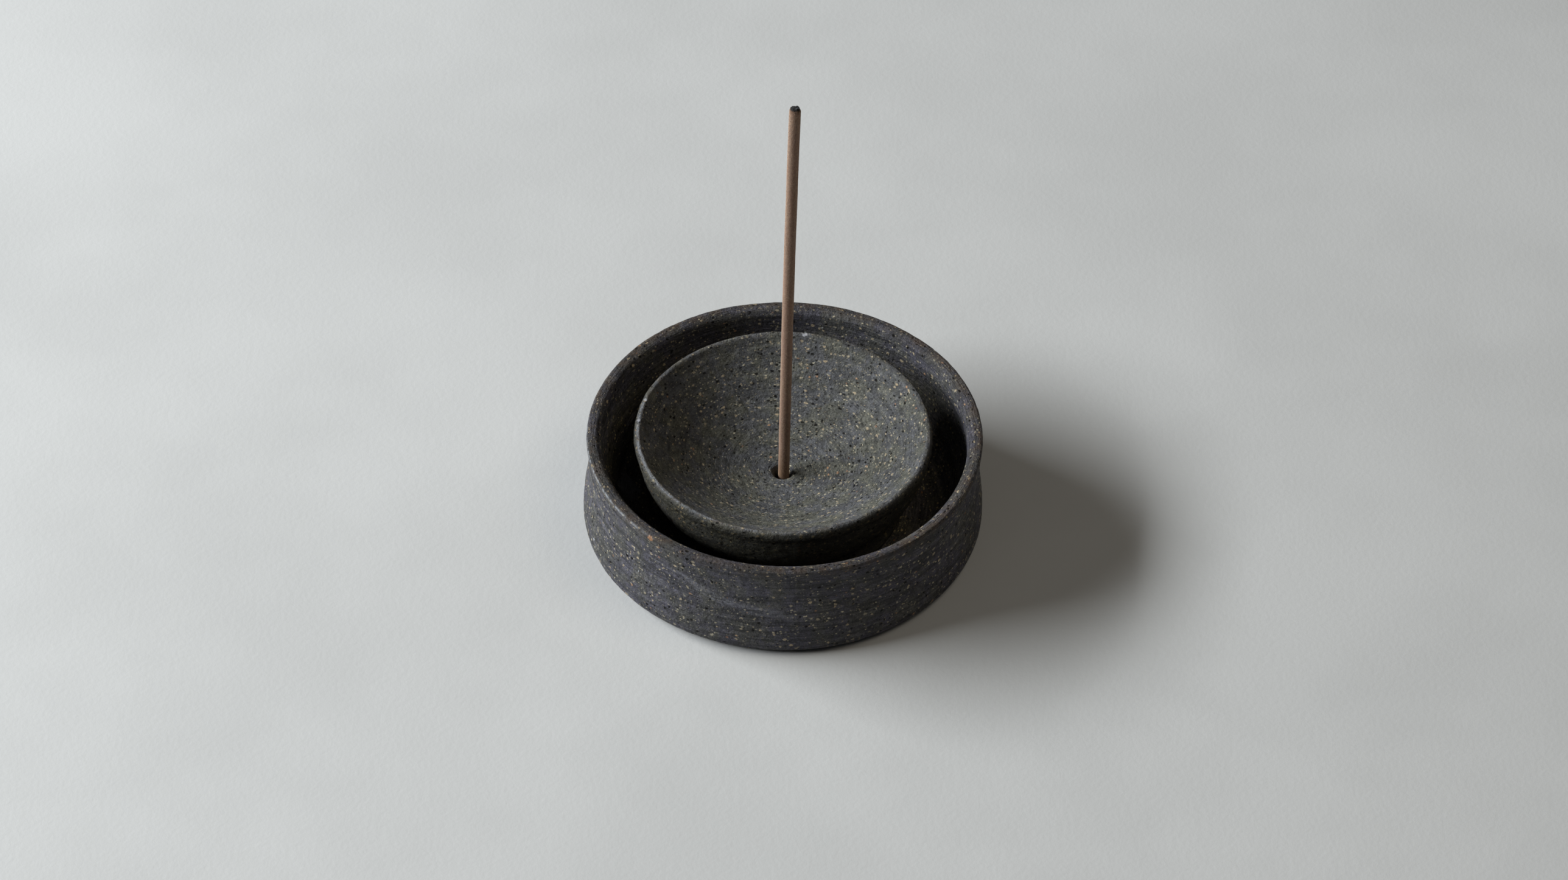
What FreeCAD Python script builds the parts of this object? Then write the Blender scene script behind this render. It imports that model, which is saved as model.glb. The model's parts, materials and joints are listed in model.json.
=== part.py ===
import FreeCAD, Part
import math
import os
import Sketcher

# Stoneware incense burner: an ash tray, a loose stick holder that stands in it,
# and one incense stick.
# Frame: millimetres, +Z up, origin at the centre of the tray's flat base.
# Every turned piece is a half-section in its body's XZ plane, revolved about Z.

SIZES = {
    # tray, outside
    "tray_height": 28.0,
    "belly_diameter": 100.0,
    "belly_level": 3.8,
    "base_inset": 3.6,
    "waist_inset": 1.4,
    "waist_drop": 8.0,
    # tray, lip and basin
    "lip_width": 3.7,
    "lip_round": 0.6,
    "lip_slope": 2.4,
    "lip_fall": 1.6,
    "basin_lean": 2.6,
    "floor_thickness": 5.5,
    "floor_round": 8.0,
    # holder, outside
    "holder_rise": 0.8,
    "holder_shift": 0.4,
    "moat_gap": 8.4,
    "foot_gap": 4.9,
    "foot_edge": 1.2,
    "foot_bend": 4.0,
    "neck_inset": 2.0,
    "neck_level": 4.0,
    "under_bend": 22.0,
    "rim_face": 3.2,
    "rim_bulge_drop": 1.5,
    "rim_tuck": 0.6,
    "crest_width": 0.8,
    # holder, hub and hole
    "hub_height": 9.2,
    "hub_web": 2.5,
    "bore_grip": 3.2,
    "bore_clearance": 0.3,
    "mouth_diameter": 5.4,
    # stick
    "stick_diameter": 2.8,
    "stick_length": 124.3,
    "stick_edge": 0.25,
    "tip_length": 2.0,
    "tip_diameter": 2.0,
    "stick_offset": 0.15,
    "stick_lean": 0.75,
    "stick_seat_gap": 0.05,
}

doc = FreeCAD.newDocument("incense_burner")
sheet = doc.addObject("Spreadsheet::Sheet", "sizes")
for row, (alias, number) in enumerate(SIZES.items(), start=1):
    sheet.set(f"A{row}", alias)
    sheet.set(f"B{row}", str(number))
    sheet.setAlias(f"B{row}", alias)
doc.recompute()


def size(alias):
    """Expression that reads one driving dimension."""
    return f"sizes.{alias}"


def number_of(expression):
    """Number that an expression gives with the sheet as it is."""
    result = sheet.evalExpression(expression)
    return float(getattr(result, "Value", result))


def tangent_bend(across, along):
    """Radius of the arc that moves across by one length while it runs along the
    other, and is square to the first at its start."""
    return f"(({across})^2 + ({along})^2) / (2 * ({across}))"


def turned_outline(body, name, corners):
    """Closed half-section made of lines and arcs, with every size on the sheet.

    A corner is (label, radius, height, bend). The radius and height are
    expressions. The bend is the radius of the arc that leads on to the next
    corner, None for a straight line, and starts with "-" where the arc is hollow.
    The corners run anticlockwise.
    """
    sketch = body.newObject("Sketcher::SketchObject", name)
    plane = next(p for p in body.Origin.OriginFeatures if p.Role == "XZ_Plane")
    sketch.AttachmentSupport = [(plane, "")]
    sketch.MapMode = "FlatFace"

    points = [FreeCAD.Vector(number_of(c[1]), number_of(c[2]), 0) for c in corners]
    starts = []
    ends = []
    for index, (label, radius, height, bend) in enumerate(corners):
        here = points[index]
        there = points[(index + 1) % len(points)]
        if bend is None:
            segment = sketch.addGeometry(Part.LineSegment(here, there), False)
            starts.append((segment, 1))
            ends.append((segment, 2))
            continue
        hollow = bend.startswith("-")
        bend = bend.lstrip("-")
        segment = sketch.addGeometry(bent_segment(here, there, number_of(bend), hollow), False)
        starts.append((segment, 2 if hollow else 1))
        ends.append((segment, 1 if hollow else 2))
        bound = sketch.addConstraint(Sketcher.Constraint("Radius", segment, number_of(bend)))
        sketch.renameConstraint(bound, f"{label}_bend")
        sketch.setExpression(f"Constraints.{label}_bend", bend)

    for index, (label, radius, height, bend) in enumerate(corners):
        after = (index + 1) % len(corners)
        sketch.addConstraint(Sketcher.Constraint("Coincident", *ends[index], *starts[after]))
        for kind, axis, expression in (("DistanceX", -2, radius), ("DistanceY", -1, height)):
            if expression == "0":
                sketch.addConstraint(Sketcher.Constraint("PointOnObject", *starts[index], axis))
                continue
            length = number_of(expression)
            bound = sketch.addConstraint(Sketcher.Constraint(kind, *starts[index], length))
            constraint_name = f"{label}_{'radius' if kind == 'DistanceX' else 'height'}"
            sketch.renameConstraint(bound, constraint_name)
            sketch.setExpression(f"Constraints.{constraint_name}", expression)
    doc.recompute()
    return sketch


def bent_segment(here, there, radius, hollow):
    """Arc from one point to another. A full arc has its centre to the left of the
    way travelled, and a hollow one has it to the right."""
    chord = there - here
    reach = math.sqrt(radius**2 - (chord.Length / 2) ** 2)
    left = FreeCAD.Vector(-chord.y, chord.x, 0).normalize()
    side = -1 if hollow else 1
    centre = here + chord * 0.5 + left * (side * reach)
    circle = Part.Circle(centre, FreeCAD.Vector(0, 0, 1), radius)
    first, last = (there, here) if hollow else (here, there)
    start_angle = math.atan2(first.y - centre.y, first.x - centre.x)
    end_angle = math.atan2(last.y - centre.y, last.x - centre.x)
    if end_angle < start_angle:
        end_angle += 2 * math.pi
    return Part.ArcOfCircle(circle, start_angle, end_angle)


def revolve(body, kind, name, sketch):
    """Turn a half-section about the piece's own upright axis."""
    feature = body.newObject(f"PartDesign::{kind}", name)
    feature.Profile = sketch
    feature.ReferenceAxis = (sketch, ["V_Axis"])
    feature.Angle = 360
    doc.recompute()
    return feature


def new_body(label):
    body = doc.addObject("PartDesign::Body", label)
    body.Label = label
    return body


# ---- sizes that follow from the sheet -------------------------------------

belly_radius = f"{size('belly_diameter')} / 2"
base_radius = f"({belly_radius} - {size('base_inset')})"
waist_radius = f"({belly_radius} - {size('waist_inset')})"
waist_level = f"({size('tray_height')} - {size('waist_drop')})"
# The wall is one S-curve, upright at the belly and at the waist, so its two arcs
# are alike and meet half-way.
waist_climb = f"({waist_level} - {size('belly_level')})"
wall_bend = f"({size('waist_inset')}^2 + {waist_climb}^2) / (4 * {size('waist_inset')})"
lip_climb = f"({size('waist_drop')} - {size('lip_round')})"
lip_flare = f"({wall_bend} - sqrt(({wall_bend})^2 - {lip_climb}^2))"
lip_radius = f"({waist_radius} + {lip_flare})"
lip_level = f"{size('tray_height')} - {size('lip_round')}"
mouth_of_basin = f"({lip_radius} - {size('lip_width')})"
basin_radius = f"({mouth_of_basin} - {size('basin_lean')})"
basin_climb = (
    f"{size('tray_height')} - {size('lip_fall')} - {size('floor_thickness')}"
    f" - {size('floor_round')}"
)
floor_radius = f"({basin_radius} - {size('floor_round')})"

holder_height = f"({size('tray_height')} - {size('floor_thickness')} + {size('holder_rise')})"
holder_radius = f"({mouth_of_basin} - {size('moat_gap')})"
foot_radius = f"({floor_radius} - {size('foot_gap')})"
neck_radius = f"({foot_radius} - {size('neck_inset')})"
tucked_radius = f"({holder_radius} - {size('rim_tuck')})"
bulge_level = f"({holder_height} - {size('rim_bulge_drop')})"
dish_radius = f"({tucked_radius} - {size('crest_width')})"
dish_depth = f"({holder_height} - {size('hub_height')})"
dish_bend = f"({dish_radius}^2 + {dish_depth}^2) / (2 * {dish_depth})"
bore_radius = f"({size('stick_diameter')} / 2 + {size('bore_clearance')})"
throat_level = f"({size('hub_web')} + {size('bore_grip')})"
mouth_radius = f"({size('mouth_diameter')} / 2)"
# The hole's edge lies on the dish's round surface.
mouth_level = (
    f"({size('hub_height')} + {dish_bend} - sqrt(({dish_bend})^2 - {mouth_radius}^2))"
)


# ---- tray: flat-based bowl with an upright wall ----------------------------

tray = new_body("tray")
tray_section = turned_outline(tray, "tray_section", [
    ("base_centre", "0", "0", None),
    ("base_edge", base_radius, "0",
     tangent_bend(size("base_inset"), size("belly_level"))),
    ("belly", belly_radius, size("belly_level"), wall_bend),
    ("wall_middle", f"({belly_radius} + {waist_radius}) / 2",
     f"({size('belly_level')} + {waist_level}) / 2", f"-{wall_bend}"),
    ("lip_outside", lip_radius, lip_level, size("lip_round")),
    ("lip_outer_top", f"{lip_radius} - {size('lip_round')}", size("tray_height"), None),
    ("lip_inner_top", f"{mouth_of_basin} + {size('lip_slope')}", size("tray_height"),
     tangent_bend(size("lip_fall"), size("lip_slope"))),
    ("lip_inside", mouth_of_basin, f"{size('tray_height')} - {size('lip_fall')}",
     f"-{tangent_bend(size('basin_lean'), basin_climb)}"),
    ("basin_foot", basin_radius, f"{size('floor_thickness')} + {size('floor_round')}",
     f"-{size('floor_round')}"),
    ("floor_edge", floor_radius, size("floor_thickness"), None),
    ("floor_centre", "0", size("floor_thickness"), None),
])
revolve(tray, "Revolution", "tray_turning", tray_section)


# ---- holder: dished top on a rounded body, with a hole for the stick -------

holder = new_body("holder")
holder_section = turned_outline(holder, "holder_section", [
    ("foot_centre", "0", "0", None),
    ("foot_edge", foot_radius, "0", None),
    ("foot_top", foot_radius, size("foot_edge"), f"-{size('foot_bend')}"),
    ("neck", neck_radius, size("neck_level"), size("under_bend")),
    ("under_rim", tucked_radius, f"{holder_height} - {size('rim_face')}",
     tangent_bend(size("rim_tuck"), f"{size('rim_face')} - {size('rim_bulge_drop')}")),
    ("rim_bulge", holder_radius, bulge_level,
     tangent_bend(size("rim_tuck"), size("rim_bulge_drop"))),
    ("rim_crest", tucked_radius, holder_height, None),
    ("dish_edge", dish_radius, holder_height, f"-{dish_bend}"),
    ("dish_centre", "0", size("hub_height"), None),
])
revolve(holder, "Revolution", "holder_turning", holder_section)

# A straight bore takes the stick's end and opens like a trumpet into the dish.
hole_section = turned_outline(holder, "hole_section", [
    ("bore_bottom", "0", size("hub_web"), None),
    ("bore_corner", bore_radius, size("hub_web"), None),
    ("throat", bore_radius, throat_level,
     f"-{tangent_bend(f'{mouth_radius} - {bore_radius}', f'{mouth_level} - {throat_level}')}"),
    ("mouth", mouth_radius, mouth_level, None),
    ("above_mouth", mouth_radius, holder_height, None),
    ("above_centre", "0", holder_height, None),
])
solid_volume = holder.Shape.Volume
revolve(holder, "Groove", "stick_hole", hole_section)
if not holder.Shape.Volume < solid_volume:
    raise RuntimeError("the stick's hole cuts nothing")
holder.setExpression("Placement.Base.x", f"-{size('holder_shift')}")
holder.setExpression("Placement.Base.z", size("floor_thickness"))


# ---- incense stick: straight rod with a burnt, narrower tip ----------------

stick = new_body("incense_stick")
stick_radius = f"{size('stick_diameter')} / 2"
tip_radius = f"{size('tip_diameter')} / 2"
tip_shoulder = f"{size('stick_length')} - {size('tip_length')}"
stick_section = turned_outline(stick, "stick_section", [
    ("end_centre", "0", "0", None),
    ("end_flat", f"{stick_radius} - {size('stick_edge')}", "0", None),
    ("end_side", stick_radius, size("stick_edge"), None),
    ("tip_shoulder", stick_radius, tip_shoulder,
     tangent_bend(f"{stick_radius} - {tip_radius}", f"{size('tip_length')} - {size('stick_edge')}")),
    ("tip_side", tip_radius, f"{size('stick_length')} - {size('stick_edge')}", None),
    ("tip_flat", f"{tip_radius} - {size('stick_edge')}", size("stick_length"), None),
    ("tip_centre", "0", size("stick_length"), None),
])
revolve(stick, "Revolution", "stick_turning", stick_section)
# It leans a little towards +X inside its loose bore.
lean_axis = FreeCAD.Vector(0, 1, 0)
stick.Placement = FreeCAD.Placement(
    FreeCAD.Vector(0, 0, 0), FreeCAD.Rotation(lean_axis, SIZES["stick_lean"])
)
stick.setExpression("Placement.Base.x", f"{size('stick_offset')} - {size('holder_shift')}")
stick.setExpression(
    "Placement.Base.z",
    f"{size('floor_thickness')} + {size('hub_web')} + {size('stick_seat_gap')}",
)
stick.setExpression("Placement.Rotation.Angle", size("stick_lean"))


# ---- check and write --------------------------------------------------------

doc.recompute()
for item in doc.Objects:
    if "Invalid" in item.State or "Error" in item.State:
        raise RuntimeError(f"{item.Name} did not build: {item.State}")

os.makedirs("parts", exist_ok=True)
for body in (tray, holder, stick):
    if body.Shape.isNull() or not body.Shape.isValid() or len(body.Shape.Solids) != 1:
        raise RuntimeError(f"{body.Label} is not one valid solid")
    body.Shape.exportStep(f"parts/{body.Label}.step")
    box = body.Shape.optimalBoundingBox(False)
    print(
        f"{body.Label}: volume {body.Shape.Volume:.1f} mm3,"
        f" x {box.XMin:.2f} to {box.XMax:.2f}, z {box.ZMin:.2f} to {box.ZMax:.2f}"
    )
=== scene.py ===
import bpy
import itertools
import json
import math
import numpy as np
from mathutils import Matrix, Vector


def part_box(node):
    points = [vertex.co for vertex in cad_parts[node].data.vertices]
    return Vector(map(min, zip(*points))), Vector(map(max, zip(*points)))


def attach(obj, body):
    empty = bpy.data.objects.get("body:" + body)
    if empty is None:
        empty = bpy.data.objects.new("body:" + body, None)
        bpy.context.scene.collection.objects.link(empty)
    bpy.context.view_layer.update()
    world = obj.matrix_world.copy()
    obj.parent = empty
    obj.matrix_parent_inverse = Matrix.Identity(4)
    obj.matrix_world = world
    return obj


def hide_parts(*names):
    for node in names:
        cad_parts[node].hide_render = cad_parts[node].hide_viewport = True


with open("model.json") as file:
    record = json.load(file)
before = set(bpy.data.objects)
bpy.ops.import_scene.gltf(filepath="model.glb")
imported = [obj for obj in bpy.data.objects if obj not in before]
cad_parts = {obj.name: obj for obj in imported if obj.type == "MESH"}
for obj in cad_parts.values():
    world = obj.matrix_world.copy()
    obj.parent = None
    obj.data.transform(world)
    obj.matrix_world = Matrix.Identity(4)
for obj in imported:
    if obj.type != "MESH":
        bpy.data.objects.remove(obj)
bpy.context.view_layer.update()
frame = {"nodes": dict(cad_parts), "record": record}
MM = 0.001

# Incense burner in speckled stoneware. The tray and the holder are turned from the
# CAD nodes' own half-sections and then given the marks of the wheel, and the stick
# is a thin extruded rod with a burnt tip. Lengths inside the shape functions are in
# millimetres; angles are measured round +Z from +X, and the front is at -90 degrees.


# ---- camera -----------------------------------------------------------------

VIEW_ELEVATION = math.radians(43.45)
VIEW_DISTANCE = 1.2
VIEW_ROLL = math.radians(0.75)
LENS = 111.02
# The view is aimed a little below and left of the middle of the tray's mouth.
AIM_OFFSET = Vector((-0.21, 0, -2.43)) * MM

tray_low, tray_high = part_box("tray")
rim_centre = Vector((
    (tray_low.x + tray_high.x) / 2, (tray_low.y + tray_high.y) / 2, tray_high.z,
))
view_line = Vector((0, math.cos(VIEW_ELEVATION), -math.sin(VIEW_ELEVATION)))
aim = rim_centre + AIM_OFFSET
camera_data = bpy.data.cameras.new("camera")
camera_data.lens = LENS
camera = bpy.data.objects.new("camera", camera_data)
bpy.context.scene.collection.objects.link(camera)
turn = (-view_line).to_track_quat("Z", "Y").to_matrix().to_4x4()
camera.matrix_world = (
    Matrix.Translation(aim - view_line * VIEW_DISTANCE) @ turn @ Matrix.Rotation(VIEW_ROLL, 4, "Z")
)
bpy.context.scene.camera = camera


# ---- noise ------------------------------------------------------------------

NOISE_TABLE = 256
NOISE_GAIN = 1.7


def smooth_noise(x, y, z, seed):
    """Gradient noise, about -1 to 1, at arrays of coordinates."""
    random = np.random.default_rng(seed)
    order = random.permutation(NOISE_TABLE)
    slopes = random.normal(size=(NOISE_TABLE, 3))
    slopes /= np.linalg.norm(slopes, axis=1)[:, None]
    points = np.stack(np.broadcast_arrays(x, y, z), axis=-1)
    cell = np.floor(points).astype(int)
    part = points - cell
    fade = part ** 3 * (part * (part * 6 - 15) + 10)
    total = np.zeros(points.shape[:-1])
    for corner in itertools.product((0, 1), repeat=3):
        hashed = order[(cell[..., 0] + corner[0]) & (NOISE_TABLE - 1)]
        hashed = order[(hashed + cell[..., 1] + corner[1]) & (NOISE_TABLE - 1)]
        hashed = order[(hashed + cell[..., 2] + corner[2]) & (NOISE_TABLE - 1)]
        value = (slopes[hashed] * (part - corner)).sum(axis=-1)
        weight = np.where(np.array(corner) == 1, fade, 1 - fade).prod(axis=-1)
        total += value * weight
    return total * NOISE_GAIN


def smooth_step(value, start, end):
    """0 before start, 1 after end, and a soft ramp between them."""
    t = np.clip((value - start) / (end - start), 0, 1)
    return t * t * (3 - 2 * t)


def near_angle(angle, degrees, width):
    """Soft hump, 1 at one angle in the plan and fading over a width in degrees."""
    away = (np.degrees(angle) - degrees + 180) % 360 - 180
    return np.exp(-(away / width) ** 2)


# ---- half-sections ----------------------------------------------------------

# Distances in metres that count as no distance when the nodes' meshes are read.
ON_PLANE = 1e-6
SAME_LEVEL = 2e-6
ON_BASE = 1e-5
# Vertices nearer the axis than this are the middle of a flat end.
NEAR_AXIS = 0.1 * MM
# Outline points this little below the highest one, in mm, belong to the top edge.
AT_TOP = 0.01


def half_section(node):
    """Outline of a turned CAD node as (radius, height) rows in mm, with its axis's x.

    The outline starts at the edge of the underside and ends at the inside's last
    corner. It is read where the node's surface is cut by the XZ plane."""
    low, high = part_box(node)
    axis_x = (low.x + high.x) / 2
    mesh = frame["nodes"][node].data
    place = {}
    for vertex in mesh.vertices:
        if abs(vertex.co.y) < ON_PLANE and vertex.co.x > axis_x + NEAR_AXIS:
            place[vertex.index] = (round(vertex.co.x - axis_x, 6), round(vertex.co.z, 6))
    linked = {point: set() for point in place.values()}
    for edge in mesh.edges:
        a, b = edge.vertices
        if a in place and b in place and place[a] != place[b]:
            linked[place[a]].add(place[b])
            linked[place[b]].add(place[a])
    here = max((p for p in linked if p[1] < low.z + ON_BASE), key=lambda p: p[0])
    outline = [here]
    waiting = set(linked) - {here}
    while waiting:
        ahead = linked[here] & waiting
        if not ahead:
            ahead = {p for p in waiting if abs(p[1] - here[1]) < SAME_LEVEL}
        if not ahead:
            break
        here = min(ahead, key=lambda p: math.dist(p, here))
        outline.append(here)
        waiting.discard(here)
    return np.array(outline) / MM, axis_x / MM


def lengths_along(outline):
    """Length along an outline at each of its points."""
    return np.concatenate(([0], np.cumsum(np.hypot(*np.diff(outline, axis=0).T))))


def softened(outline, reach, spacing):
    """The outline with its corners rounded, and rows as far apart as spacing says.

    reach is how far the rounding spreads. spacing gives the row distance from the
    lengths along the outline. Returns radius, height and length."""
    fine = 0.05
    half_window = 40
    along = lengths_along(outline)
    even = np.linspace(0, along[-1], int(along[-1] / fine))
    dense = np.column_stack([np.interp(even, along, outline[:, i]) for i in (0, 1)])
    window = np.exp(-0.5 * (np.arange(-half_window, half_window + 1) * fine / reach) ** 2)
    window /= window.sum()
    # Both ends go on in a straight line, so that the rounding leaves them in place.
    held = np.vstack((
        2 * dense[0] - dense[half_window:0:-1],
        dense,
        2 * dense[-1] - dense[-2:-half_window - 2:-1],
    ))
    dense = np.column_stack([np.convolve(held[:, i], window, mode="valid") for i in (0, 1)])
    rows = np.concatenate(([0], np.cumsum(fine / spacing(even)[1:])))
    chosen = np.interp(np.linspace(0, rows[-1], int(rows[-1]) + 1), rows, even)
    return (
        np.interp(chosen, even, dense[:, 0]), np.interp(chosen, even, dense[:, 1]), chosen,
    )


# ---- turned pieces ----------------------------------------------------------

def tube_piece(name, points, ring_count, around, turned, wear=None):
    """Smooth closed tube from rings of points in metres, with its point attributes.

    The last two points close the first and the last ring. turned is each point's x
    and y and its length along the outline, in mm, and wear is how worn it is."""
    ring = np.arange(around)
    after = (ring + 1) % around
    faces = []
    for row in range(ring_count - 1):
        low = row * around
        high = low + around
        quads = np.column_stack((low + ring, low + after, high + after, high + ring))
        faces.extend(quads.tolist())
    low_point = ring_count * around
    high_point = low_point + 1
    last = low_point - around
    faces.extend(np.column_stack((after, ring, np.full(around, low_point))).tolist())
    closing = np.column_stack((last + ring, last + after, np.full(around, high_point)))
    faces.extend(closing.tolist())

    mesh = bpy.data.meshes.new(name)
    mesh.from_pydata(points.tolist(), [], faces)
    mesh.validate()
    places = mesh.attributes.new("turned", "FLOAT_VECTOR", "POINT")
    places.data.foreach_set("vector", turned.ravel())
    if wear is not None:
        worn = mesh.attributes.new("wear", "FLOAT", "POINT")
        worn.data.foreach_set("value", wear)
    mesh.polygons.foreach_set("use_smooth", [True] * len(mesh.polygons))
    mesh.update()
    piece = bpy.data.objects.new(name, mesh)
    bpy.context.scene.collection.objects.link(piece)
    return piece


def turned_piece(name, rows, axis_x, around, shape, start_rings, end_rings):
    """Closed turned mesh with a displaced surface.

    rows are radius, height and length arrays. shape takes grids of radius, height,
    length and angle, and the outline's normal, and returns the moved radius and
    height, a shift in x and a wear mask. The rings are radii of the flat discs that
    close the two ends."""
    radius, height, length = rows
    along_r = np.gradient(radius, length)
    along_z = np.gradient(height, length)
    size = np.hypot(along_r, along_z)
    start = np.array(start_rings)
    end = np.array(end_rings)
    radius = np.concatenate((start, radius, end))
    height = np.concatenate((
        np.full(len(start), height[0]), height, np.full(len(end), height[-1]),
    ))
    length = np.concatenate((
        length[0] - (rows[0][0] - start), length, length[-1] + (rows[0][-1] - end),
    ))
    under = np.sign(along_z[0] + 1e-9)
    normal_r = np.concatenate((np.zeros(len(start)), along_z / size, np.zeros(len(end))))
    normal_z = np.concatenate((np.full(len(start), -under), -along_r / size, np.ones(len(end))))

    angle = np.linspace(0, 2 * math.pi, around, endpoint=False)
    grid = [np.repeat(a[:, None], around, axis=1) for a in (radius, height, length)]
    turn_angle = np.broadcast_to(angle, grid[0].shape)
    normals = (normal_r[:, None], normal_z[:, None])
    moved_r, moved_z, shift_x, wear = shape(*grid, turn_angle, *normals)
    x = axis_x + shift_x + moved_r * np.cos(turn_angle)
    y = moved_r * np.sin(turn_angle)
    low_point = (axis_x + shift_x[0].mean(), 0, moved_z[0].mean())
    high_point = (axis_x + shift_x[-1].mean(), 0, moved_z[-1].mean())
    points = np.concatenate((
        np.column_stack((x.ravel(), y.ravel(), moved_z.ravel())), [low_point, high_point],
    )) * MM

    rings = np.column_stack((x.ravel(), y.ravel(), grid[2].ravel()))
    ends = [[axis_x, 0, length[0] - radius[0]], [axis_x, 0, length[-1] + radius[-1]]]
    turned = np.concatenate((rings, ends))
    end_wear = [0, 0]
    wear = np.concatenate((wear.ravel(), end_wear))
    return tube_piece(name, points, len(radius), around, turned, wear)


def pitted(radius, length, angle, pits):
    """Depth, in mm, that a list of pits or grains takes off the surface.

    A pit is (angle, length along the outline, half-width, half-length, depth)."""
    depth = np.zeros(radius.shape)
    for where, at, wide, tall, deep in pits:
        rows = np.flatnonzero(np.abs(length[:, 0] - at) < tall)
        if not len(rows):
            continue
        band = slice(rows[0], rows[-1] + 1)
        away = (angle[band] - where + math.pi) % (2 * math.pi) - math.pi
        spread = (away * radius[band] / wide) ** 2 + ((length[band] - at) / tall) ** 2
        depth[band] += deep * np.clip(1 - spread, 0, 1) ** 1.5
    return depth


def scattered(seed, count, lengths, sizes, depths, angles=(-math.pi, math.pi)):
    """Seeded pits or grains, spread over a stretch of the outline."""
    random = np.random.default_rng(seed)
    where = random.uniform(*angles, count)
    at = random.uniform(*lengths, count)
    wide = sizes[0] + (sizes[1] - sizes[0]) * random.random(count) ** 2
    tall = wide * random.uniform(0.6, 1.2, count)
    deep = random.uniform(*depths, count)
    return list(zip(where, at, wide, tall, deep))


# ---- tray -------------------------------------------------------------------

tray_outline, tray_x = half_section("tray")
tray_lengths = lengths_along(tray_outline)
TRAY_TOP = tray_outline[:, 1].max()
TRAY_FLOOR = tray_outline[-1, 1]
lip_at = tray_lengths[tray_outline[:, 1] > TRAY_TOP - AT_TOP].mean()
# The holder's foot stands inside this radius.
FOOT_REACH = 30.8


def tray_spacing(length):
    """Row distance: fine on the lip, wider on the wall and widest inside."""
    near_lip = np.abs(length - lip_at) < 3.5
    return np.where(near_lip, 0.26, np.where(length > lip_at, 0.44, 0.39))


tray_rows = softened(tray_outline, 0.42, tray_spacing)


def tray_shape(radius, height, length, angle, normal_r, normal_z):
    cos = np.cos(angle)
    sin = np.sin(angle)
    x = radius * cos
    y = radius * sin
    inside = smooth_step(length, lip_at - 1.0, lip_at + 1.0)
    # The flat base and the floor under the holder's foot stay as they are.
    lively = smooth_step(length, 0.0, 1.5) * (
        1 - inside * (1 - smooth_step(radius, FOOT_REACH, FOOT_REACH + 2.5))
    )
    near_lip = np.exp(-((length - lip_at) / 1.9) ** 2)

    # Wheel marks: long shallow bands and short fine drag lines.
    marks = 0.050 * smooth_noise(x / 26, y / 26, length / 2.6, 3)
    marks += 0.032 * smooth_noise(x / 11, y / 11, length / 1.05, 4)
    marks += 0.020 * smooth_noise(x / 6, y / 6, length / 0.75, 5)
    skin = 0.040 * smooth_noise(x / 1.7, y / 1.7, height / 1.3, 6)
    skin += 0.028 * smooth_noise(x / 0.9, y / 0.9, height / 0.8, 7)
    worn = 0.050 * smooth_noise(x / 3.2, y / 3.2, height / 3.2, 8) * near_lip
    worn += 0.035 * smooth_noise(x / 1.3, y / 1.3, height / 1.3, 9) * near_lip
    depth = pitted(radius, length, angle, tray_pits) - pitted(radius, length, angle, tray_grains)
    offset = (marks * (1 - 0.6 * near_lip) + skin + worn - depth) * lively

    # Out of round, a little uneven in height, and leaning left towards the base.
    round_r = 0.14 * smooth_noise(cos * 1.1, sin * 1.1, 0.4, 10) * lively
    rise = 0.12 * smooth_noise(cos * 1.6, sin * 1.6, 7.3, 11) * smooth_step(height, 12, TRAY_TOP)
    low_shift = -0.22 * (1 - smooth_step(height, 5.0, TRAY_TOP - 4.0)) * (1 - inside)

    # The lip is thinner at the front right.
    inner_lip = inside * np.exp(-np.clip(length - lip_at, 0, None) / 5.0)
    thinner = 0.10 * smooth_noise(cos * 1.9, sin * 1.9, 2.1, 12) + 0.45 * near_angle(angle, -42, 20)
    moved_r = radius + normal_r * offset + round_r + thinner * inner_lip
    moved_z = height + normal_z * offset + rise * (radius > FOOT_REACH)
    wear = near_lip * (0.75 + 0.35 * smooth_noise(x / 7, y / 7, height / 3, 13))
    return moved_r, moved_z, low_shift * lively, np.clip(wear, 0, 1)


tray_pits = scattered(21, 260, (3, lip_at - 2), (0.45, 1.0), (0.08, 0.20))
tray_pits += scattered(22, 150, (lip_at - 1, lip_at + 26), (0.45, 0.95), (0.08, 0.20))
tray_grains = scattered(23, 420, (3, lip_at + 24), (0.40, 0.75), (0.03, 0.08))
tray = turned_piece(
    "tray_stoneware", tray_rows, tray_x, 560, tray_shape,
    start_rings=(12, 24, 34, 41, 45), end_rings=(34, 33, 32, 31, 30, 28, 24, 18, 12, 6),
)


# ---- holder -----------------------------------------------------------------

holder_outline, holder_x = half_section("holder")
holder_lengths = lengths_along(holder_outline)
HOLDER_TOP = holder_outline[:, 1].max()
HOLDER_BASE = holder_outline[0, 1]
on_crest = holder_outline[:, 1] > HOLDER_TOP - AT_TOP
crest_radius = holder_outline[on_crest, 0].mean()
crest_at = holder_lengths[on_crest].mean()
MOUTH_RADIUS = 2.7
in_mouth = (holder_lengths > crest_at) & (holder_outline[:, 0] < MOUTH_RADIUS + 0.05)
mouth_at = holder_lengths[np.flatnonzero(in_mouth)[0]]


def holder_spacing(length):
    """Row distance: fine on the rim and in the dish, wide under the rim."""
    spacing = np.where(length < crest_at - 5, 0.62, 0.40)
    return np.where(np.abs(length - crest_at) < 2.6, 0.22, spacing)


holder_rows = softened(holder_outline, 0.20, holder_spacing)


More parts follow.
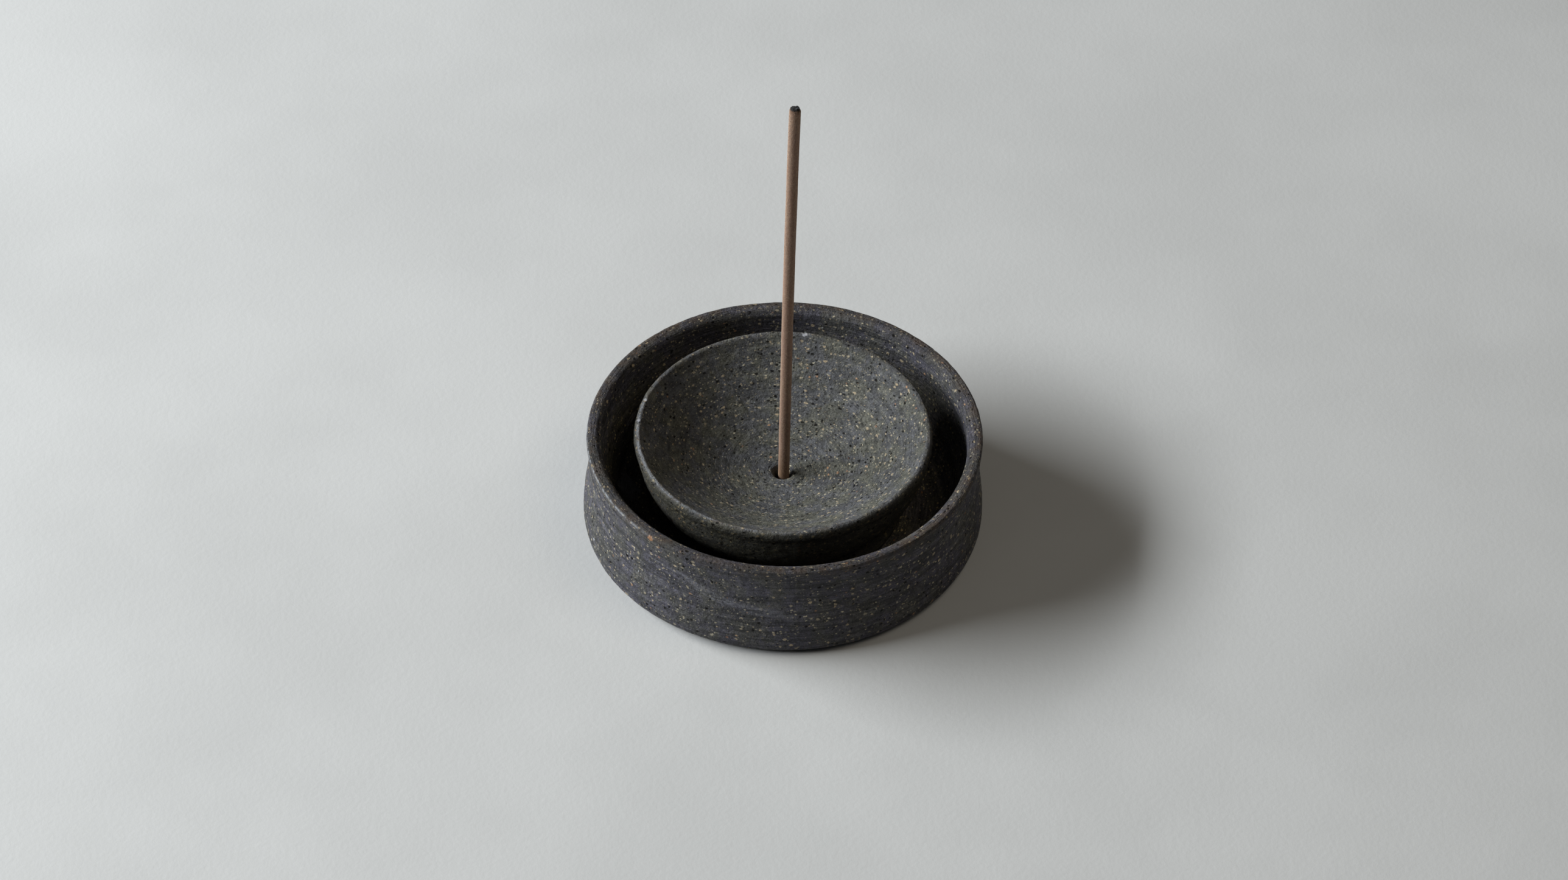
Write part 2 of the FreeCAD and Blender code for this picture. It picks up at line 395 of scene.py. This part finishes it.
def holder_shape(radius, height, length, angle, normal_r, normal_z):
    cos = np.cos(angle)
    sin = np.sin(angle)
    x = radius * cos
    y = radius * sin
    in_dish = smooth_step(length, crest_at - 0.5, crest_at + 0.8)
    outer = 1 - in_dish
    in_hole = smooth_step(length, mouth_at - 0.1, mouth_at + 1.2)
    # The foot that stands on the tray stays as it is, and so does the tight bore.
    lively = smooth_step(height, HOLDER_BASE + 0.6, HOLDER_BASE + 2.5) * (1 - 0.9 * in_hole)
    near_crest = np.exp(-((length - crest_at) / 1.3) ** 2)

    marks = 0.040 * smooth_noise(x / 22, y / 22, length / 2.4, 31)
    marks += 0.034 * smooth_noise(x / 12, y / 12, length / 1.0, 32)
    marks += 0.020 * smooth_noise(x / 5, y / 5, length / 0.8, 33)
    skin = 0.042 * smooth_noise(x / 1.6, y / 1.6, height / 1.6, 34)
    skin += 0.030 * smooth_noise(x / 0.8, y / 0.8, height / 0.8, 35)
    coarse = 0.12 * smooth_noise(x / 2.6, y / 2.6, height / 2.2, 36) * outer * (1 - near_crest)
    worn = 0.075 * smooth_noise(x / 3.4, y / 3.4, height / 3.4, 37) * near_crest
    worn += 0.045 * smooth_noise(x / 1.2, y / 1.2, height / 1.2, 38) * near_crest
    depth = pitted(radius, length, angle, holder_pits)
    depth -= pitted(radius, length, angle, holder_grains)
    offset = (marks + skin + coarse + worn - depth) * lively

    round_r = 0.16 * smooth_noise(cos * 1.2, sin * 1.2, 5.4, 39) * smooth_step(radius, 20, 34)
    rise = 0.12 * smooth_noise(cos * 1.5, sin * 1.5, 3.7, 40) * smooth_step(height, 20, HOLDER_TOP)
    # The rim is a thin crest on the left and broader and rounder at the front right.
    broad = 0.35 * near_angle(angle, -35, 45) * near_crest * in_dish
    moved_r = radius + normal_r * offset + round_r * lively
    moved_z = height + normal_z * offset + rise + broad
    # The hole's mouth opens a little more to the left than to the right.
    wider = np.exp(-((length - mouth_at) / 1.3) ** 2) * 0.16 * near_angle(angle, 170, 70)
    # The crest is rubbed pale all round, and more along the left and the front left, where this
    # also paints a highlight.
    rub_and_highlight = 0.25 + 0.75 * near_angle(angle, -158, 52)
    rub_and_highlight = rub_and_highlight + 0.3 * smooth_noise(x / 5, y / 5, height / 3, 41)
    wear = np.exp(-((length - crest_at) / 0.60) ** 2) * rub_and_highlight
    return moved_r + wider, moved_z, np.zeros(radius.shape), np.clip(wear, 0, 1)


# Chips in the rim: angle in degrees and half-width in mm.
RIM_CHIPS = ((82, 0.9), (163, 0.6), (175, 0.55))
holder_pits = scattered(51, 220, (crest_at + 1, mouth_at - 1), (0.40, 0.85), (0.08, 0.22))
holder_pits += scattered(
    52, 110, (crest_at + 4, crest_at + 24), (0.45, 0.95), (0.14, 0.30), (-0.5, 1.1)
)
holder_pits += scattered(53, 170, (6, crest_at - 2), (0.55, 1.3), (0.12, 0.32))
holder_pits += [
    (math.radians(at), crest_at - 0.1, size, size * 0.8, 0.28) for at, size in RIM_CHIPS
]
holder_grains = scattered(54, 320, (6, mouth_at - 1), (0.40, 0.70), (0.03, 0.08))
holder = turned_piece(
    "holder_stoneware", holder_rows, holder_x, 560, holder_shape,
    start_rings=(8, 16, 23, 27.5), end_rings=(1.0,),
)


# ---- incense stick ----------------------------------------------------------

stick_low, stick_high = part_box("incense_stick")
lean_axis = next(
    Vector(j["axis"]).normalized() for j in frame["record"]["behaviour"]["joints"]
    if j["name"] == "stick_lift"
)
STICK_RADIUS = (stick_high.y - stick_low.y) / 2 / MM
lean = math.acos(lean_axis.z)
stick_foot = Vector((stick_low.x, 0, stick_low.z)) + STICK_RADIUS * MM * Vector(
    (math.cos(lean), 0, math.sin(lean))
)
STICK_LENGTH = (stick_high.z - stick_foot.z) / math.cos(lean) / MM
TIP_LENGTH = 1.3
TIP_RADIUS = 1.0
END_ROUNDING = 0.25


def stick_radii(along):
    """Plain radius at lengths along the stick, with a narrower burnt tip."""
    burnt = smooth_step(along, STICK_LENGTH - TIP_LENGTH, STICK_LENGTH - 0.2)
    radii = STICK_RADIUS - (STICK_RADIUS - TIP_RADIUS) * burnt
    from_end = np.minimum(along, STICK_LENGTH - along)
    return radii - np.clip(END_ROUNDING - from_end, 0, END_ROUNDING)


def stick_piece(name, around):
    """Rod with a rough skin, a very slight bow and a crumbling tip."""
    body = np.arange(0.25, STICK_LENGTH - 3.0, 0.26)
    tip = np.arange(STICK_LENGTH - 3.0, STICK_LENGTH - 0.25, 0.12)
    along = np.concatenate(([0, 0.12], body, tip, [STICK_LENGTH - 0.12, STICK_LENGTH]))
    angle = np.linspace(0, 2 * math.pi, around, endpoint=False)
    reach, turned = np.meshgrid(along, angle, indexing="ij")
    radii = stick_radii(reach)
    x = STICK_RADIUS * np.cos(turned)
    y = STICK_RADIUS * np.sin(turned)
    skin = 0.020 * smooth_noise(x / 1.2, y / 1.2, reach / 4.5, 61)
    skin += 0.014 * smooth_noise(x / 0.45, y / 0.45, reach / 0.55, 62)
    skin += 0.010 * smooth_noise(x / 0.25, y / 0.25, reach / 2.2, 63)
    burnt = smooth_step(reach, STICK_LENGTH - TIP_LENGTH, STICK_LENGTH - TIP_LENGTH + 0.8)
    crumble = 0.16 * smooth_noise(x / 0.8, y / 0.8, reach / 0.7, 64)
    crumble += 0.07 * smooth_noise(x / 0.35, y / 0.35, reach / 0.35, 65)
    free = smooth_step(reach, 9, 16)
    radii = radii + skin * (0.4 + 0.6 * free) + crumble * burnt
    bow = 0.22 * np.sin(np.clip((reach - 8) / (STICK_LENGTH - 8), 0, 1) * math.pi)
    wander = 0.05 * smooth_noise(reach / 21, 0.3, 0.6, 66) * free
    drop = burnt * 0.22 * smooth_noise(x / 1.1, y / 1.1, 3.3, 67)
    local = np.column_stack((
        (radii * np.cos(turned) - bow - wander).ravel(),
        (radii * np.sin(turned)).ravel(),
        (reach + drop).ravel(),
    ))
    ends = np.array([local[:around].mean(axis=0), local[-around:].mean(axis=0)])
    to_world = Matrix.Translation(stick_foot / MM) @ Vector((0, 0, 1)).rotation_difference(
        lean_axis
    ).to_matrix().to_4x4()
    points = np.concatenate((local, ends))
    placed = points @ np.array(to_world.to_3x3()).T + np.array(to_world.translation)
    return tube_piece(name, placed * MM, len(along), around, points)


stick = stick_piece("incense_stick_burnt", 56)


# ---- material graphs --------------------------------------------------------

class Graph:
    """Small builder for one procedural material. Lengths are in millimetres."""

    def __init__(self, name):
        self.material = bpy.data.materials.new(name)
        self.material.use_nodes = True
        self.tree = self.material.node_tree
        self.shader = self.tree.nodes["Principled BSDF"]
        self.place = self.vector("SCALE", self.new("TexCoord").outputs["Object"], scale=1 / MM)

    def new(self, kind, **settings):
        node = self.tree.nodes.new(f"ShaderNode{kind}")
        for key, value in settings.items():
            setattr(node, key, value)
        return node

    def feed(self, socket, value):
        if isinstance(value, bpy.types.NodeSocket):
            self.tree.links.new(value, socket)
        else:
            socket.default_value = value

    def math(self, operation, *values, clamp=False):
        node = self.new("Math", operation=operation, use_clamp=clamp)
        for socket, value in zip(node.inputs, values):
            self.feed(socket, value)
        return node.outputs[0]

    def vector(self, operation, *values, scale=None):
        node = self.new("VectorMath", operation=operation)
        for socket, value in zip(node.inputs, values):
            self.feed(socket, value)
        if scale is not None:
            self.feed(node.inputs["Scale"], scale)
        is_number = operation in ("LENGTH", "DISTANCE", "DOT_PRODUCT")
        return node.outputs["Value" if is_number else "Vector"]

    def axis(self, vector, name):
        """One coordinate of a vector."""
        node = self.new("SeparateXYZ")
        self.feed(node.inputs[0], vector)
        return node.outputs[name]

    def attribute(self, name, output):
        return self.new("Attribute", attribute_name=name).outputs[output]

    def noise(self, size, detail=2.0, rough=0.5, vector=None, output="Fac"):
        """Noise whose features are about as large as size, from 0 to 1."""
        if isinstance(size, tuple):
            sizes = tuple(1 / s for s in size)
        else:
            sizes = (1 / size,) * 3
        at = self.vector("MULTIPLY", self.place if vector is None else vector, sizes)
        node = self.new("TexNoise")
        self.feed(node.inputs["Vector"], at)
        node.inputs["Scale"].default_value = 1.0
        node.inputs["Detail"].default_value = detail
        node.inputs["Roughness"].default_value = rough
        return node.outputs[output]

    def shifted(self, vector, size, amount):
        """Coordinates pushed about by noise, for ragged outlines."""
        push = self.noise(size, 1.0, vector=vector, output="Color")
        push = self.vector("SUBTRACT", push, (0.5,) * 3)
        return self.vector("ADD", vector, self.vector("SCALE", push, scale=amount * 2))

    def ramp(self, value, start, end, low=0.0, high=1.0):
        node = self.new("MapRange", interpolation_type="SMOOTHSTEP")
        for name, number in (
            ("Value", value), ("From Min", start), ("From Max", end),
            ("To Min", low), ("To Max", high),
        ):
            self.feed(node.inputs[name], number)
        return node.outputs["Result"]

    def mix(self, amount, first, second, blend="MIX"):
        node = self.new("Mix", data_type="RGBA", blend_type=blend)
        self.feed(node.inputs["Factor"], amount)
        for socket, value in ((node.inputs[6], first), (node.inputs[7], second)):
            if isinstance(value, tuple):
                value = (*value, 1.0)
            self.feed(socket, value)
        return node.outputs[2]

    def painted(self, colour, mask, strength, paint):
        """A colour with paint laid over it where the mask is."""
        return self.mix(self.math("MULTIPLY", mask, strength), colour, paint)

    def specks(self, cell, small, large, share, vector, soft=0.07):
        """Scattered grains: the mask, and a random number for each grain."""
        node = self.new("TexVoronoi", feature="F1")
        self.feed(node.inputs["Vector"], self.vector("SCALE", vector, scale=1 / cell))
        node.inputs["Scale"].default_value = 1.0
        chance = self.new("SeparateColor")
        self.feed(chance.inputs[0], node.outputs["Color"])
        first, second, third = chance.outputs
        size = self.math("POWER", second, 1.6)
        size = self.math("MULTIPLY_ADD", size, (large - small) / cell, small / cell)
        present = self.math("LESS_THAN", first, share)
        size = self.math("MULTIPLY", size, present)
        mask = self.math("SUBTRACT", size, node.outputs["Distance"])
        return self.ramp(mask, -soft * 0.2 / cell, soft / cell), third

    def bump(self, height, distance):
        node = self.new("Bump")
        node.inputs["Distance"].default_value = distance * MM
        self.feed(node.inputs["Height"], height)
        return node.outputs[0]


# ---- stoneware --------------------------------------------------------------

# Pale edge: wear, and on the holder's crest also a painted highlight.
WORN_EDGE_AND_HIGHLIGHT = (0.140, 0.132, 0.124)
RUST = (0.088, 0.054, 0.038)
PIT_SHADE = (0.008, 0.007, 0.006)
PEPPER_BLACK = (0.016, 0.015, 0.014)
# Grains stand proud in step with their size, up to this size.
PROUDEST = 0.35


def stoneware(name, cool, warm, grog, pit_share, streak, polish_and_highlight):
    """Unglazed dark clay with cream, rust and white grog and small pits in painted shade.

    cool and warm are the two body colours, grog is the share of grains, pit_share
    the share of pits, streak the strength of the wheel's drag lines, and the last how
    pale the edges are where the wear mask is: worn, and on the holder also a painted highlight."""
    g = Graph(name)
    turned = g.attribute("turned", "Vector")
    wear = g.attribute("wear", "Fac")
    # The wheel drags the grains out along the turn.
    dragged = g.vector("MULTIPLY", turned, (1.0, 1.0, 1.25))
    ragged = g.shifted(g.shifted(dragged, 0.60, 0.30), 0.20, 0.22)

    # Clay body: two greys in clouds, with patches, a sandy grain and drag lines.
    clouds = g.ramp(g.noise(6.0, 4.0, 0.65), 0.40, 0.62)
    body = g.mix(clouds, cool, warm)
    patches = g.ramp(g.noise(2.0, 4.0, 0.65), 0.34, 0.66, 0.68, 1.34)
    grain = g.ramp(g.noise(0.36, 3.0, 0.7), 0.35, 0.65, 0.60, 1.42)
    broad = g.noise((22.0, 22.0, 1.5), 3.0, 0.6, vector=turned)
    lines = g.noise((13.0, 13.0, 0.50), 3.0, 0.65, vector=turned)
    drags = g.noise((4.0, 4.0, 0.28), 2.0, 0.6, vector=turned)
    bands = g.math("MULTIPLY_ADD", broad, 0.35, g.math("MULTIPLY", lines, 0.40))
    bands = g.math("MULTIPLY_ADD", drags, 0.25, bands)
    bands = g.ramp(bands, 0.40, 0.60, 1 - streak, 1 + streak)
    shade = g.math("MULTIPLY", g.math("MULTIPLY", patches, grain), bands)
    body = g.mix(1.0, body, g.vector("SCALE", (1.0, 1.0, 1.0), scale=shade), "MULTIPLY")

    # Paler edges with a rusty tint: wear, and on the holder's left also a painted highlight.
    edge = g.math("MULTIPLY", wear, g.ramp(g.noise(1.2, 3.0, 0.6), 0.34, 0.62), clamp=True)
    body = g.painted(body, edge, polish_and_highlight, WORN_EDGE_AND_HIGHLIGHT)
    rusty = g.math("MULTIPLY", wear, g.ramp(g.noise(3.0, 3.0, 0.65), 0.40, 0.60), clamp=True)
    body = g.painted(body, rusty, 0.8, RUST)

    # Grog, from dust to coarse grains.
    layers = (
        # cell, small, large, share, shift,
        # first and second tone, least and most cover
        (0.45, 0.04, 0.13, 0.8 * grog, (0, 0, 0),
         (0.26, 0.22, 0.14), (0.42, 0.37, 0.26), 0.20, 0.65),
        (0.88, 0.10, 0.34, 0.80 * grog, (4.1, 2.2, 6.7),
         (0.40, 0.35, 0.24), (0.60, 0.53, 0.38), 0.30, 0.95),
        (1.50, 0.20, 0.56, 0.56 * grog, (7.1, 3.3, 5.9),
         (0.58, 0.50, 0.35), (0.44, 0.34, 0.22), 0.45, 1.0),
        (2.4, 0.14, 0.48, 0.36, (1.7, 9.2, 4.4),
         (0.34, 0.15, 0.075), (0.48, 0.29, 0.16), 0.50, 0.95),
        (3.4, 0.10, 0.34, 0.40, (5.3, 2.8, 8.1),
         (0.62, 0.62, 0.60), (0.42, 0.44, 0.46), 0.50, 0.95),
    )
    colour = body
    proud = 0.0
    tone = g.ramp(g.noise(0.4, 2.0, 0.6), 0.3, 0.7, 0.72, 1.15)
    for cell, small, large, share, shift, first, second, least, most in layers:
        mask, kind = g.specks(cell, small, large, share, g.vector("ADD", ragged, shift))
        paint = g.vector("SCALE", g.mix(kind, first, second), scale=tone)
        colour = g.painted(colour, mask, g.ramp(kind, 0.0, 1.0, least, most), paint)
        proud = g.math("MULTIPLY_ADD", mask, min(large, PROUDEST), proud)

    # Pits, sunk in and painted near black as their shade, and black pepper; the pits thicker in
    # some places.
    pits = g.specks(1.15, 0.14, 0.50, pit_share, g.vector("ADD", ragged, (3.9, 6.4, 1.2)))[0]
    pits = g.math("MULTIPLY", pits, g.ramp(g.noise(5.0, 2.0, 0.6), 0.36, 0.56, 0.35, 1.0))
    pepper = g.specks(0.55, 0.04, 0.13, 0.55, g.vector("ADD", ragged, (8.8, 0.4, 2.7)))[0]
    colour = g.painted(colour, pepper, 0.65, PEPPER_BLACK)
    g.colour = g.painted(colour, pits, 0.9, PIT_SHADE)

    # Relief: drag lines, a sandy skin, grog a little proud and pits sunk in.
    relief = g.math("MULTIPLY_ADD", lines, streak * 3.6, proud)
    relief = g.math("MULTIPLY_ADD", drags, streak * 3.0, relief)
    relief = g.math("MULTIPLY_ADD", g.noise(0.28, 3.0, 0.7), 1.1, relief)
    relief = g.math("MULTIPLY_ADD", g.noise(0.9, 3.0, 0.6), 2.6, relief)
    relief = g.math("MULTIPLY_ADD", pits, -2.0, relief)
    relief = g.math("MULTIPLY_ADD", pepper, -0.6, relief)
    g.feed(g.shader.inputs["Normal"], g.bump(relief, 0.22))
    rough = g.ramp(g.noise(1.2, 3.0, 0.6), 0.3, 0.7, 0.60, 0.82)
    g.feed(g.shader.inputs["Roughness"], g.math("MULTIPLY_ADD", edge, -0.14, rough))
    g.shader.inputs["Diffuse Roughness"].default_value = 0.7
    g.shader.inputs["IOR"].default_value = 1.5
    # Pits catch no gloss, so that they stay dark.
    g.feed(g.shader.inputs["Specular IOR Level"], g.math("MULTIPLY_ADD", pits, -0.38, 0.42))
    return g


def spot(g, centre, size, softness, ragged_size=0.6, ragged=0.35):
    """Mask of one irregular spot, centred at a point in millimetres."""
    away = g.vector("DISTANCE", g.shifted(g.place, ragged_size, ragged), tuple(centre))
    return g.ramp(away, size, size * (1 - softness))


def on_ring(axis_x, radius, degrees, height):
    """Point in millimetres on a ring round a piece's axis."""
    angle = math.radians(degrees)
    return (axis_x + radius * math.cos(angle), radius * math.sin(angle), height)


def thin_line(g, length, at, width):
    """Mask of a thin broken line where the outline has one length, in millimetres."""
    away = g.math("ABSOLUTE", g.math("SUBTRACT", length, at))
    broken = g.ramp(g.noise(1.6, 3.0, 0.65), 0.36, 0.58)
    return g.math("MULTIPLY", g.ramp(away, width, width * 0.2), broken)


def scratch(g, start, end, width):
    """Mask of a thin broken line along a round wall, between two of its points."""
    start = Vector(start)
    end = Vector(end)
    outward = start + end
    outward.z = 0
    across = (end - start).cross(outward).normalized()
    along = (end - start) / (end - start).length_squared
    here = g.vector("SUBTRACT", g.shifted(g.place, 1.6, 0.5), tuple(start))
    side = g.vector("DOT_PRODUCT", here, tuple(across))
    reach = g.vector("DOT_PRODUCT", here, tuple(along))
    line = g.ramp(g.math("ABSOLUTE", side), width, width * 0.2)
    ends = g.ramp(g.math("ABSOLUTE", g.math("SUBTRACT", reach, 0.5)), 0.5, 0.34)
    streaks = g.noise((2.5, 2.5, 0.35), 3.0, 0.7, vector=g.attribute("turned", "Vector"))
    broken = g.ramp(streaks, 0.36, 0.54)
    return g.math("MULTIPLY", g.math("MULTIPLY", line, ends), broken)


tray_clay = stoneware(
    "stoneware_tray", cool=(0.048, 0.045, 0.059), warm=(0.055, 0.053, 0.049),
    grog=0.82, pit_share=0.42, streak=0.55, polish_and_highlight=0.04,
)
colour = tray_clay.colour
across = tray_clay.axis(tray_clay.place, "X")
back = tray_clay.axis(tray_clay.place, "Y")
level = tray_clay.axis(tray_clay.place, "Z")
# Painted shade darkens and browns the basin below its lip, more so lower down.
BASIN_SHADE = (0.94, 0.86, 0.62)
BASIN_RADIUS = 46.0
deep = tray_clay.ramp(level, TRAY_TOP - 4.0, TRAY_TOP - 12.0)
in_plan = tray_clay.vector("MULTIPLY", tray_clay.place, (1.0, 1.0, 0.0))
from_middle = tray_clay.vector("LENGTH", in_plan)
inward = tray_clay.ramp(from_middle, BASIN_RADIUS + 0.5, BASIN_RADIUS - 0.5)
painted_basin_shade = tray_clay.math("MULTIPLY", deep, inward)
colour = tray_clay.mix(painted_basin_shade, colour, BASIN_SHADE, "MULTIPLY")
# Handling has browned the lip.
lip_wear = tray_clay.attribute("wear", "Fac")
colour = tray_clay.mix(lip_wear, colour, (0.64, 0.58, 0.48), "MULTIPLY")
# A pale patch lies on the left of the moat's floor.
MOAT_MIDDLE = 39.5
pale_patch = spot(
    tray_clay, on_ring(tray_x, MOAT_MIDDLE, 178, TRAY_FLOOR + 1.5), 4.6, 0.55, 3.0, 2.2,
)
colour = tray_clay.painted(colour, pale_patch, 0.55, (0.20, 0.19, 0.21))
# One rust-orange grain shows on the lip's outer edge at the front left.
WALL_RADIUS = 49.2
orange = spot(tray_clay, on_ring(tray_x, WALL_RADIUS, -131.3, TRAY_TOP - 0.9), 1.0, 0.4)
colour = tray_clay.painted(colour, orange, 0.85, (0.44, 0.22, 0.10))
# Pale scuffs run round the wall from the front left to the front right.
SCUFFS = (
    # start angle and height, end angle and height, half-width, strength
    (-136, 20.4, -116, 19.6, 0.55, 0.35),
    (-123, 20.8, -104, 15.6, 0.60, 0.45),
    (-121, 19.4, -102, 14.2, 0.75, 0.45),
    (-117, 17.4, -106, 14.2, 0.45, 0.55),
    (-108, 15.8, -89, 14.2, 1.10, 0.55),
    (-103, 13.8, -85, 12.8, 0.90, 0.40),
    (-66, 18.6, -46, 18.2, 0.60, 0.30),
    (-40, 14.0, -22, 14.6, 0.70, 0.30),
)
for first, low, last, high, width, strength in SCUFFS:
    start = on_ring(tray_x, WALL_RADIUS, first, low)
    end = on_ring(tray_x, WALL_RADIUS, last, high)
    mask = scratch(tray_clay, start, end, width)
    colour = tray_clay.painted(colour, mask, strength, (0.21, 0.21, 0.24))
# A small painted highlight shows low on the wall's left.
glint = spot(tray_clay, on_ring(tray_x, 50.0, -160, 7.0), 0.55, 0.5, 0.4, 0.3)
colour = tray_clay.painted(colour, glint, 0.8, (0.62, 0.63, 0.66))
# A painted highlight runs along the lip's outer edge on the left.
outline_length = tray_clay.axis(tray_clay.attribute("turned", "Vector"), "Z")
rub_and_highlight = thin_line(tray_clay, outline_length, lip_at - 0.9, 0.55)
rub_and_highlight = tray_clay.math("MULTIPLY", rub_and_highlight, tray_clay.ramp(across, -30.0, -38.0))
rub_and_highlight = tray_clay.math("MULTIPLY", rub_and_highlight, tray_clay.ramp(back, 8.0, -4.0))
colour = tray_clay.painted(colour, rub_and_highlight, 0.7, (0.30, 0.31, 0.33))
tray_clay.feed(tray_clay.shader.inputs["Base Color"], colour)

holder_clay = stoneware(
    "stoneware_holder", cool=(0.070, 0.070, 0.075), warm=(0.082, 0.080, 0.064),
    grog=1.0, pit_share=0.60, streak=0.27, polish_and_highlight=0.45,
)
colour = holder_clay.colour
for degrees, size in RIM_CHIPS:
    centre = on_ring(holder_x, crest_radius, degrees, HOLDER_TOP - 0.1)
    chip = spot(holder_clay, centre, size, 0.35, 0.5, 0.25)
    colour = holder_clay.painted(colour, chip, 0.65, (0.50, 0.50, 0.54))
# Painted shade darkens the holder's side from its rim down.
outline_length = holder_clay.axis(holder_clay.attribute("turned", "Vector"), "Z")
painted_shade_below_rim = holder_clay.ramp(outline_length, crest_at + 0.1, crest_at - 1.5)
colour = holder_clay.mix(painted_shade_below_rim, colour, (0.31, 0.28, 0.19), "MULTIPLY")
# The crest is paler where its wear mask is strongest, on the left: rubbed pale, and a painted
# highlight.
worn = holder_clay.ramp(holder_clay.attribute("wear", "Fac"), 0.30, 0.80)
rub_and_highlight = thin_line(holder_clay, outline_length, crest_at - 0.2, 0.75)
rub_and_highlight = holder_clay.math("MULTIPLY", rub_and_highlight, worn)
colour = holder_clay.painted(colour, rub_and_highlight, 0.8, (0.22, 0.23, 0.25))
holder_clay.feed(holder_clay.shader.inputs["Base Color"], colour)


# ---- incense ----------------------------------------------------------------

paste = Graph("incense_paste")
turned = paste.attribute("turned", "Vector")
reach = paste.axis(turned, "Z")
fibres = paste.noise((0.32, 0.32, 0.7), 3.0, 0.65, vector=turned)
powder = paste.noise(0.16, 2.0, 0.7, vector=turned)
patchy = paste.noise((1.6, 1.6, 9.0), 2.0, 0.5, vector=turned)
tan = paste.mix(paste.ramp(fibres, 0.32, 0.68), (0.185, 0.115, 0.080), (0.265, 0.175, 0.122))
tan = paste.mix(paste.ramp(powder, 0.48, 0.68, 0.0, 0.6), tan, (0.38, 0.29, 0.22))
tan = paste.mix(paste.ramp(powder, 0.50, 0.32, 0.0, 0.6), tan, (0.085, 0.048, 0.034))
tan = paste.mix(paste.ramp(patchy, 0.40, 0.66, 0.0, 0.35), tan, (0.235, 0.135, 0.100))
fleck = paste.specks(0.9, 0.05, 0.14, 0.35, turned, 0.04)[0]
tan = paste.painted(tan, fleck, 0.6, (0.075, 0.045, 0.035))
# Painted shade darkens the foot of the stick, down to where it stands in the hole.
painted_foot_shade = paste.math("MULTIPLY", paste.ramp(reach, 17.0, 7.0), 0.7)
tan = paste.mix(painted_foot_shade, tan, (0.62, 0.56, 0.44), "MULTIPLY")
edge_at = paste.math("MULTIPLY_ADD", paste.noise(0.7, 2.0, 0.6, vector=turned), 1.1, reach)
scorched = paste.ramp(edge_at, STICK_LENGTH - 1.0, STICK_LENGTH + 0.2)
charred = paste.ramp(edge_at, STICK_LENGTH - 0.15, STICK_LENGTH + 0.25)
tan = paste.painted(tan, scorched, 0.75, (0.085, 0.050, 0.034))
tan = paste.mix(charred, tan, (0.013, 0.012, 0.012))
# Grey ash clings to the end of the char in patches.
elsewhere = paste.vector("ADD", turned, (3.1, 0.7, 0.2))
ash = paste.ramp(paste.noise(0.75, 3.0, 0.65, vector=elsewhere), 0.53, 0.62)
ash = paste.math("MULTIPLY", ash, paste.ramp(edge_at, STICK_LENGTH + 0.1, STICK_LENGTH + 0.6))
tan = paste.painted(tan, ash, 0.45, (0.20, 0.21, 0.24))
paste.feed(paste.shader.inputs["Base Color"], tan)
relief = paste.math("MULTIPLY_ADD", powder, 0.8, fibres)
paste.feed(paste.shader.inputs["Normal"], paste.bump(relief, 0.09))
paste.shader.inputs["Roughness"].default_value = 0.92
paste.shader.inputs["Diffuse Roughness"].default_value = 1.0
paste.shader.inputs["Subsurface Weight"].default_value = 0.5
paste.shader.inputs["Subsurface Radius"].default_value = (1.0, 0.8, 0.6)
paste.shader.inputs["Subsurface Scale"].default_value = 0.002
paste.shader.inputs["Specular IOR Level"].default_value = 0.25

for piece, material in ((tray, tray_clay), (holder, holder_clay), (stick, paste)):
    piece.data.materials.append(material.material)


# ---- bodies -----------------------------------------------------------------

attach(tray, "tray")
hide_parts("tray")
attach(holder, "holder")
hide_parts("holder")
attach(stick, "stick")
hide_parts("incense_stick")


# ---- floor and light --------------------------------------------------------

FLOOR_HALF = 4.0
CORNERS = ((-1, -1), (1, -1), (1, 1), (-1, 1))
corner_points = [(x * FLOOR_HALF, y * FLOOR_HALF, tray_low.z) for x, y in CORNERS]
floor_mesh = bpy.data.meshes.new("floor")
floor_mesh.from_pydata(corner_points, [], [(0, 1, 2, 3)])
floor = bpy.data.objects.new("floor", floor_mesh)
bpy.context.scene.collection.objects.link(floor)
plaster = Graph("floor_plaster")
tone = plaster.ramp(plaster.noise(90.0, 4.0, 0.6), 0.3, 0.7)
plain = plaster.mix(tone, (0.45, 0.445, 0.435), (0.49, 0.485, 0.475))
plaster.feed(plaster.shader.inputs["Base Color"], plain)
plaster.feed(plaster.shader.inputs["Normal"], plaster.bump(plaster.noise(1.5, 3.0, 0.6), 0.05))
plaster.shader.inputs["Roughness"].default_value = 0.85
floor_mesh.materials.append(plaster.material)


def area_light(name, towards, distance, width, height, energy, colour):
    """Soft rectangular light that faces the object from a direction."""
    data = bpy.data.lights.new(name, "AREA")
    data.shape = "RECTANGLE"
    data.size = width
    data.size_y = height
    data.energy = energy
    data.color = colour
    light = bpy.data.objects.new(name, data)
    bpy.context.scene.collection.objects.link(light)
    away = Vector(towards).normalized()
    facing = away.to_track_quat("Z", "Y").to_matrix().to_4x4()
    light.matrix_world = Matrix.Translation(rim_centre + away * distance) @ facing


area_light(
    "key", towards=(-0.875, 0.10, 0.475), distance=1.8, width=1.6, height=0.42,
    energy=77.0, colour=(0.92, 0.97, 1.0),
)
area_light(
    "fill", towards=(0.44, -0.16, 0.88), distance=1.6, width=0.8, height=0.8,
    energy=4.2, colour=(1.0, 0.92, 0.78),
)
world = bpy.data.worlds.new("world")
world.use_nodes = True
sky = world.node_tree.nodes["Background"]
sky.inputs["Color"].default_value = (0.9, 0.95, 1.0, 1.0)
sky.inputs["Strength"].default_value = 0.042
bpy.context.scene.world = world
bpy.context.scene.view_settings.view_transform = "Standard"
